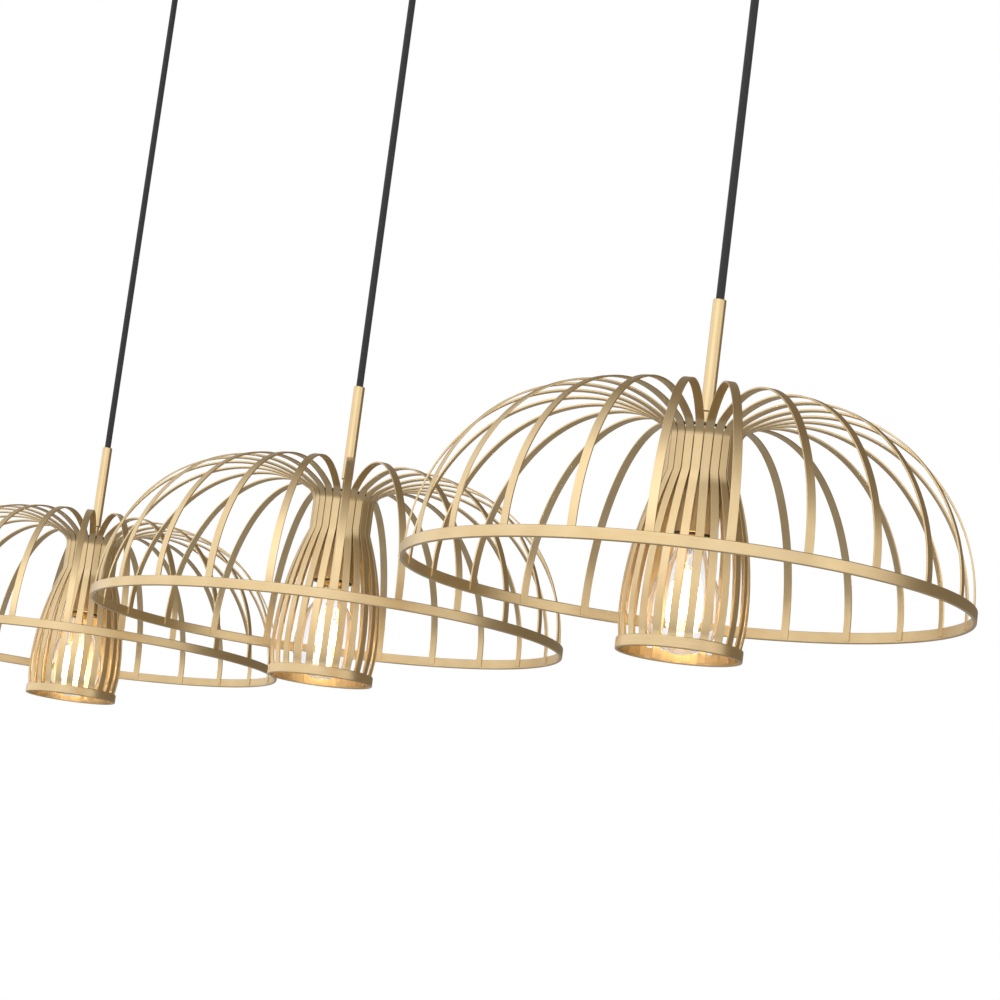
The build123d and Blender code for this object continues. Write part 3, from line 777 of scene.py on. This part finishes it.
def filament_parts():
    """Coated rods, wires with the rods' caps, and glass mount of one bulb."""
    foot = Vector((0, 0, ROD_BOTTOM))
    rods, caps = [], []
    wires = [tube_between((0, 0, 20.5), foot, WIRE_RADIUS, 8)]
    for index in range(ROD_COUNT):
        turn = math.tau * index / ROD_COUNT
        level = Vector((math.cos(turn), math.sin(turn), 0.0))
        high_end = level * ROD_TOP_SPREAD + Vector((0, 0, ROD_TOP))
        low_end = level * ROD_BOTTOM_SPREAD + foot
        way = (high_end - low_end).normalized()
        rods.append(tube_between(low_end + way * 2.0, high_end - way * 2.0, ROD_RADIUS, 16))
        for end, inward in ((low_end, way), (high_end, -way)):
            caps.append(tube_between(end - inward * 0.6, end + inward * 3.2, CAP_RADIUS, 10))
        knee = level * 6.5 + Vector((0, 0, 17.5))
        root = level * 1.2 + Vector((0, 0, 21.0))
        for start, end in ((root, knee), (knee, high_end), (foot, low_end)):
            wires.append(tube_between(start, end, WIRE_RADIUS, 8))
    mount = rounded([(0.2, 20.0), (2.4, 20.0), (3.0, 23.0), (3.2, 40.0), (6.4, 49.6), (11.4, 51.0),
                     (11.4, 51.9), (0.2, 51.9)], 0.15, 2)
    return [part[:3] for part in (merged(rods), merged(wires + caps), spun(mount, 48))]


def glass_outline():
    """Outer and inner skins of the bulb's envelope, with their normals."""
    middle, rise = BULB_RADIUS - BULB_SHOULDER, BULB_NECK_START - BULB_CENTRE
    reach = BULB_NECK - middle
    flare = (reach ** 2 + rise ** 2 - BULB_SHOULDER ** 2) / (2 * (BULB_SHOULDER - reach))
    lean = math.degrees(math.atan2(rise, reach + flare))

    def skin(inset, side):
        run = arc_stations((0.0, BULB_CENTRE), BULB_RADIUS - inset, -89.9, 0.0)
        run += arc_stations((middle, BULB_CENTRE), BULB_SHOULDER - inset, 0.0, lean)[1:]
        run += arc_stations((BULB_NECK + flare, BULB_NECK_START), flare + inset,
                            180.0 + lean, 180.0)[1:]
        return ([(r, z, side * tz, -side * tr) for r, z, tr, tz in run]
                + [(BULB_NECK - inset, BULB_TOP, side, 0.0)])

    lip = (BULB_NECK - GLASS_WALL / 2, BULB_TOP + 0.02, 0.0, 1.0)
    return skin(0.0, 1.0) + [lip] + skin(GLASS_WALL, -1.0)[::-1]


def bulb_base_mesh():
    """Screw base: rolled thread, solder cone and centre contact."""
    rows = [(BASE_RADIUS - 0.5, BASE_BOTTOM, 0), (BASE_RADIUS - 0.5, BASE_BOTTOM + 2.5, 0)]
    rows += [(BASE_RADIUS, BASE_THREAD_START + BASE_THREAD_STEP * step, 1)
             for step in range(BASE_THREAD_ROWS)]
    rows += [(12.3, 62.0, 0), (11.6, 63.5, 0), (CONTACT_RADIUS, 66.5, 0), (CONTACT_RADIUS, 67.3, 0),
             (CONTACT_RADIUS - 0.6, 67.5, 0), (0.02, 67.6, 0), (0.02, 66.6, 0), (11.2, 62.0, 0),
             (BASE_RADIUS - 0.9, 60.0, 0), (BASE_RADIUS - 0.9, BASE_BOTTOM, 0)]

    def thread(z, turn):
        return 0.275 * (1 - math.cos(math.tau * z / BASE_PITCH - turn))

    return mesh_of("bulb_base", *whorl(rows, 72, thread)[:2], sharp=45)


def stem_mesh():
    """Stem with a rolled thread where its nuts run, up to the tube's lower end."""
    rows = [(STEM_RADIUS - 0.05, STEM_BOTTOM + 0.2 * step, 1) for step in range(103)]
    rows += [(STEM_RADIUS, 128.4, 0), (STEM_RADIUS, STEM_TOP, 0), (STEM_BORE, STEM_TOP, 0),
             (STEM_BORE, STEM_BOTTOM, 0)]

    def thread(z, turn):
        return 0.09 * (1 - math.cos(math.tau * z / 0.95 - turn))

    return mesh_of("stem", *whorl(rows, 48, thread)[:2], sharp=50)


def shade(letter):
    """Everything that one cord carries."""
    body = f"shade_{letter}"
    ring_top = RING_HEIGHT - RING_DROP
    hoop_inner = HOOP_RADIUS - HOOP_WALL
    ring_inner = RING_RADIUS - RING_WALL
    for base, material in CARRIED_OVER_EACH.items():
        paint(f"{base}_{letter}", material)

    place(ribs_mesh(), f"ribs_{letter}_strips", GOLD_STRIP, letter, body, f"ribs_{letter}")
    hoop = lathe("hoop", [(hoop_inner, 0.0), (HOOP_RADIUS, 0.0), (HOOP_RADIUS, HOOP_HEIGHT),
                          (hoop_inner, HOOP_HEIGHT)], EDGE_WIDTH, 240)
    place(hoop, f"hoop_{letter}_band", GOLD_BAND, letter, body, f"hoop_{letter}")
    place(weld_beads("hoop_welds", hoop_inner, RIB_END_LIFT, HOOP_HEIGHT),
          f"hoop_{letter}_welds", GOLD_WELD, letter, body, f"hoop_{letter}")
    ring = lathe("bottom_ring", [(ring_inner, -RING_DROP), (RING_RADIUS, -RING_DROP),
                                 (RING_RADIUS, ring_top), (ring_inner, ring_top)])
    place(ring, f"bottom_ring_{letter}_band", GOLD_BAND, letter, body, f"bottom_ring_{letter}")
    place(weld_beads("ring_welds", ring_inner, RIB_END_LIFT - RING_DROP, ring_top),
          f"bottom_ring_{letter}_welds", GOLD_WELD, letter, body, f"bottom_ring_{letter}")

    tube = lathe("tube", [(TUBE_BORE_LOW, TUBE_BOTTOM), (TUBE_RADIUS, TUBE_BOTTOM),
                          (TUBE_RADIUS, TUBE_TOP), (TUBE_BORE_HIGH, TUBE_TOP)], 0.3, 64)
    place(tube, f"tube_{letter}_sleeve", GOLD_TUBE, letter, body, f"tube_{letter}")
    place(stem_mesh(), f"stem_{letter}_threaded", GOLD_TUBE, letter, body, f"stem_{letter}")
    collar_radius = NECK_LINE - STRIP_THICKNESS / 2 - WELD_CLEARANCE
    collar_inner = collar_radius - COLLAR_WALL
    collar = lathe("collar", [(collar_inner, NECK_BOTTOM), (collar_radius, NECK_BOTTOM),
                              (collar_radius, COLLAR_TOP), (STEM_HOLE, COLLAR_TOP),
                              (STEM_HOLE, WEB_BOTTOM), (collar_inner, WEB_BOTTOM)], 0.2, 96)
    # The collar wears the darker gold: painted shade inside the neck.
    place(collar, f"collar_{letter}_sleeve", GOLD_NECK_PAINTED_SHADE, letter, body, f"collar_{letter}")
    low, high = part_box(f"neck_ring_{letter}")
    reach = (high[1] - low[1]) / 2 / MM
    bottom, top = low[2] / MM + OVERALL_DROP, high[2] / MM + OVERALL_DROP
    inner = reach - NECK_RING_SIZE
    neck = lathe("neck_ring", [(inner, bottom), (reach, bottom), (reach, top), (inner, top)], 0.7, 96)
    # The neck ring wears the same darker gold: painted shade.
    place(neck, f"neck_ring_{letter}_wire", GOLD_NECK_PAINTED_SHADE, letter, body, f"neck_ring_{letter}")
    cup_inner, roof = CUP_RADIUS - CUP_WALL, WEB_BOTTOM - CUP_WALL
    cup = lathe("socket_cup", [(cup_inner, CUP_BOTTOM), (CUP_RADIUS, CUP_BOTTOM),
                               (CUP_RADIUS, WEB_BOTTOM), (STEM_HOLE, WEB_BOTTOM), (STEM_HOLE, roof),
                               (cup_inner, roof)], 0.4, 96)
    # The cup wears a darker gold: painted shade inside the cage.
    place(cup, f"socket_cup_{letter}_spun", GOLD_CUP_PAINTED_SHADE, letter, body, f"socket_cup_{letter}")

    grip = dressed(f"cord_grip_{letter}", f"cord_grip_{letter}_turned", axis_of(letter), GOLD_TUBE, 0.25)
    stand_in(grip, "canopy", f"cord_grip_{letter}")

    bulb, node = f"bulb_{letter}", f"filament_{letter}"
    rods, wires, mount = filament_parts()
    glass = place(mesh_of("bulb_glass", *spun(glass_outline(), 96)[:3]), f"bulb_glass_{letter}_blown",
                  GLASS, letter, bulb, f"bulb_glass_{letter}")
    place(bulb_base_mesh(), f"bulb_base_{letter}_screw", BRASS, letter, bulb, f"bulb_base_{letter}")
    lit = place(mesh_of("rods", *rods), f"filament_{letter}_rods", FILAMENT_GLOW, letter, bulb, node)
    place(mesh_of("wires", *wires), f"filament_{letter}_wires", NICKEL, letter, bulb, node)
    clear = place(mesh_of("mount", *mount), f"filament_{letter}_mount", GLASS_MOUNT, letter, bulb, node)
    for piece in (glass, lit, clear):
        piece.visible_shadow = False


def cord(letter):
    """One straight run from the crimp in the canopy to the ferrule in the tube."""
    curve = bpy.data.curves.new(f"cord_{letter}_braid", "CURVE")
    curve.dimensions = "3D"
    curve.bevel_depth = CORD_RADIUS * MM
    curve.bevel_resolution = 12
    curve.resolution_u = 4
    curve.use_fill_caps = True
    heights = (CORD_TOP, (CORD_TOP + CORD_BOTTOM) / 2, CORD_BOTTOM)
    spline = curve.splines.new("NURBS")
    spline.points.add(len(heights) - 1)
    for point, height in zip(spline.points, heights):
        point.co = (0.0, 0.0, height * MM, 1.0)
    spline.order_u = 3
    spline.use_endpoint_u = True
    curve.materials.append(CORD_BLACK)
    piece = link(bpy.data.objects.new(f"cord_{letter}_braid", curve))
    piece.location = axis_of(letter)
    stand_in(piece, f"hanger_{letter}", f"cord_{letter}")


# ------------------------------------------------------------ camera and light
def camera():
    """Camera where the photograph's perspective puts it."""
    data = bpy.data.cameras.new("camera")
    data.sensor_fit = "HORIZONTAL"
    data.sensor_width = SENSOR_WIDTH
    data.lens = FOCAL_PIXELS / FRAME_PIXELS * SENSOR_WIDTH
    data.clip_end = 60.0
    heading = math.radians(CAMERA_HEADING)
    tilt = math.radians(CAMERA_TILT)
    forward = Vector((math.cos(heading) * math.cos(tilt), math.sin(heading) * math.cos(tilt),
                      math.sin(tilt)))
    level = forward.cross(Vector((0, 0, 1))).normalized()
    upright = level.cross(forward)
    roll = math.radians(CAMERA_ROLL)
    right = level * math.cos(roll) + upright * math.sin(roll)
    up = right.cross(forward)
    rotation = Matrix((right, up, -forward)).transposed()
    viewer = link(bpy.data.objects.new("camera", data))
    viewer.matrix_world = Matrix.Translation(CAMERA_PLACE) @ rotation.to_4x4()
    bpy.context.scene.camera = viewer


def area_light(name, spot, size, power):
    """White square light that faces the shades."""
    data = bpy.data.lights.new(name, "AREA")
    data.shape = "RECTANGLE"
    data.size = data.size_y = size
    data.energy = power
    lamp = link(bpy.data.objects.new(name, data))
    lamp.location = spot
    direction = Vector(LIGHT_TARGET) - Vector(spot)
    lamp.rotation_euler = direction.to_track_quat("-Z", "Y").to_euler()


def bulb_light(letter):
    """Warm light at one bulb's resting place."""
    data = bpy.data.lights.new(f"bulb_light_{letter}", "POINT")
    data.energy = BULB_POWER
    data.color = BULB_COLOUR
    data.shadow_soft_size = BULB_LIGHT_SIZE
    lamp = link(bpy.data.objects.new(f"bulb_light_{letter}", data))
    lamp.location = axis_of(letter) - Vector((0, 0, BULB_LIGHT_DROP))


def mixed(nodes, links, factor, first, second):
    """Mix of two shaders, all of the second one where the factor is 1."""
    node = nodes.new("ShaderNodeMixShader")
    for socket, value in zip(node.inputs, (factor, first, second)):
        links.new(value, socket)
    return node.outputs[0]


def seen_plainly(nodes, links):
    """1 for rays from the camera, straight or through glass, and 0 for the others."""
    path = nodes.new("ShaderNodeLightPath")
    return math_node(nodes, links, "MAXIMUM", path.outputs["Is Camera Ray"],
                     path.outputs["Is Transmission Ray"])


def world():
    """White surroundings whose reflections fade away from the studio's bright side."""
    studio = bpy.data.worlds.new("studio")
    bpy.context.scene.world = studio
    studio.use_nodes = True
    nodes, links = studio.node_tree.nodes, studio.node_tree.links
    nodes.clear()
    output = nodes.new("ShaderNodeOutputWorld")
    direction = nodes.new("ShaderNodeTexCoord").outputs["Generated"]
    side = nodes.new("ShaderNodeVectorMath")
    side.operation = "DOT_PRODUCT"
    side.inputs[1].default_value = STUDIO_SIDE
    links.new(direction, side.inputs[0])
    lift = split_xyz(nodes, links, direction)[2]
    fall = times(nodes, links, times(nodes, links, lift, lift), STUDIO_FALL)
    facing = spread(nodes, links, math_node(nodes, links, "SUBTRACT", side.outputs["Value"], fall),
                    0.0, 1.0, STUDIO_DARK_AT, STUDIO_BRIGHT_AT, "SMOOTHSTEP")
    backgrounds = []
    for strength in (1.0, DIFFUSE_LIGHT, 1.0):
        backgrounds.append(nodes.new("ShaderNodeBackground"))
        backgrounds[-1].inputs["Strength"].default_value = strength
        backgrounds[-1].inputs["Color"].default_value = (1.0, 1.0, 1.0, 1.0)
    reflected, soft, white = backgrounds
    links.new(ramp(nodes, links, facing, [(0.0, STUDIO_DARK), (1.0, STUDIO_BRIGHT)]),
              reflected.inputs["Color"])
    glossy = nodes.new("ShaderNodeLightPath").outputs["Is Glossy Ray"]
    lit = mixed(nodes, links, glossy, soft.outputs[0], reflected.outputs[0])
    seen = mixed(nodes, links, seen_plainly(nodes, links), lit, white.outputs[0])
    links.new(seen, output.inputs["Surface"])


def floor():
    """Pale floor that keeps its shadows, looks near white and is clear from below."""
    mesh = bpy.data.meshes.new("floor")
    half = FLOOR_SIZE / 2
    corners = [(-half, -half, FLOOR_HEIGHT), (half, -half, FLOOR_HEIGHT), (half, half, FLOOR_HEIGHT),
               (-half, half, FLOOR_HEIGHT)]
    mesh.from_pydata(corners, [], [(0, 1, 2, 3)])
    material, nodes, links, shader = new_material("pale_floor")[:4]
    shader.inputs["Base Color"].default_value = (FLOOR_GREY, FLOOR_GREY, FLOOR_GREY, 1.0)
    shader.inputs["Roughness"].default_value = 0.9
    white = nodes.new("ShaderNodeEmission").outputs[0]
    clear = nodes.new("ShaderNodeBsdfTransparent").outputs[0]
    share = times(nodes, links, seen_plainly(nodes, links), FLOOR_WHITE)
    paper = mixed(nodes, links, share, shader.outputs[0], white)
    behind = nodes.new("ShaderNodeNewGeometry").outputs["Backfacing"]
    links.new(mixed(nodes, links, behind, paper, clear), nodes["Material Output"].inputs["Surface"])
    mesh.materials.append(material)
    link(bpy.data.objects.new("floor", mesh))


camera()
for name in SHADES:
    cord(name)
    shade(name)
    bulb_light(name)
canopy()
world()
floor()
area_light("key", KEY_PLACE, KEY_SIZE, KEY_POWER)
area_light("fill", FILL_PLACE, FILL_SIZE, FILL_POWER)
bpy.context.scene.view_settings.view_transform = "Standard"
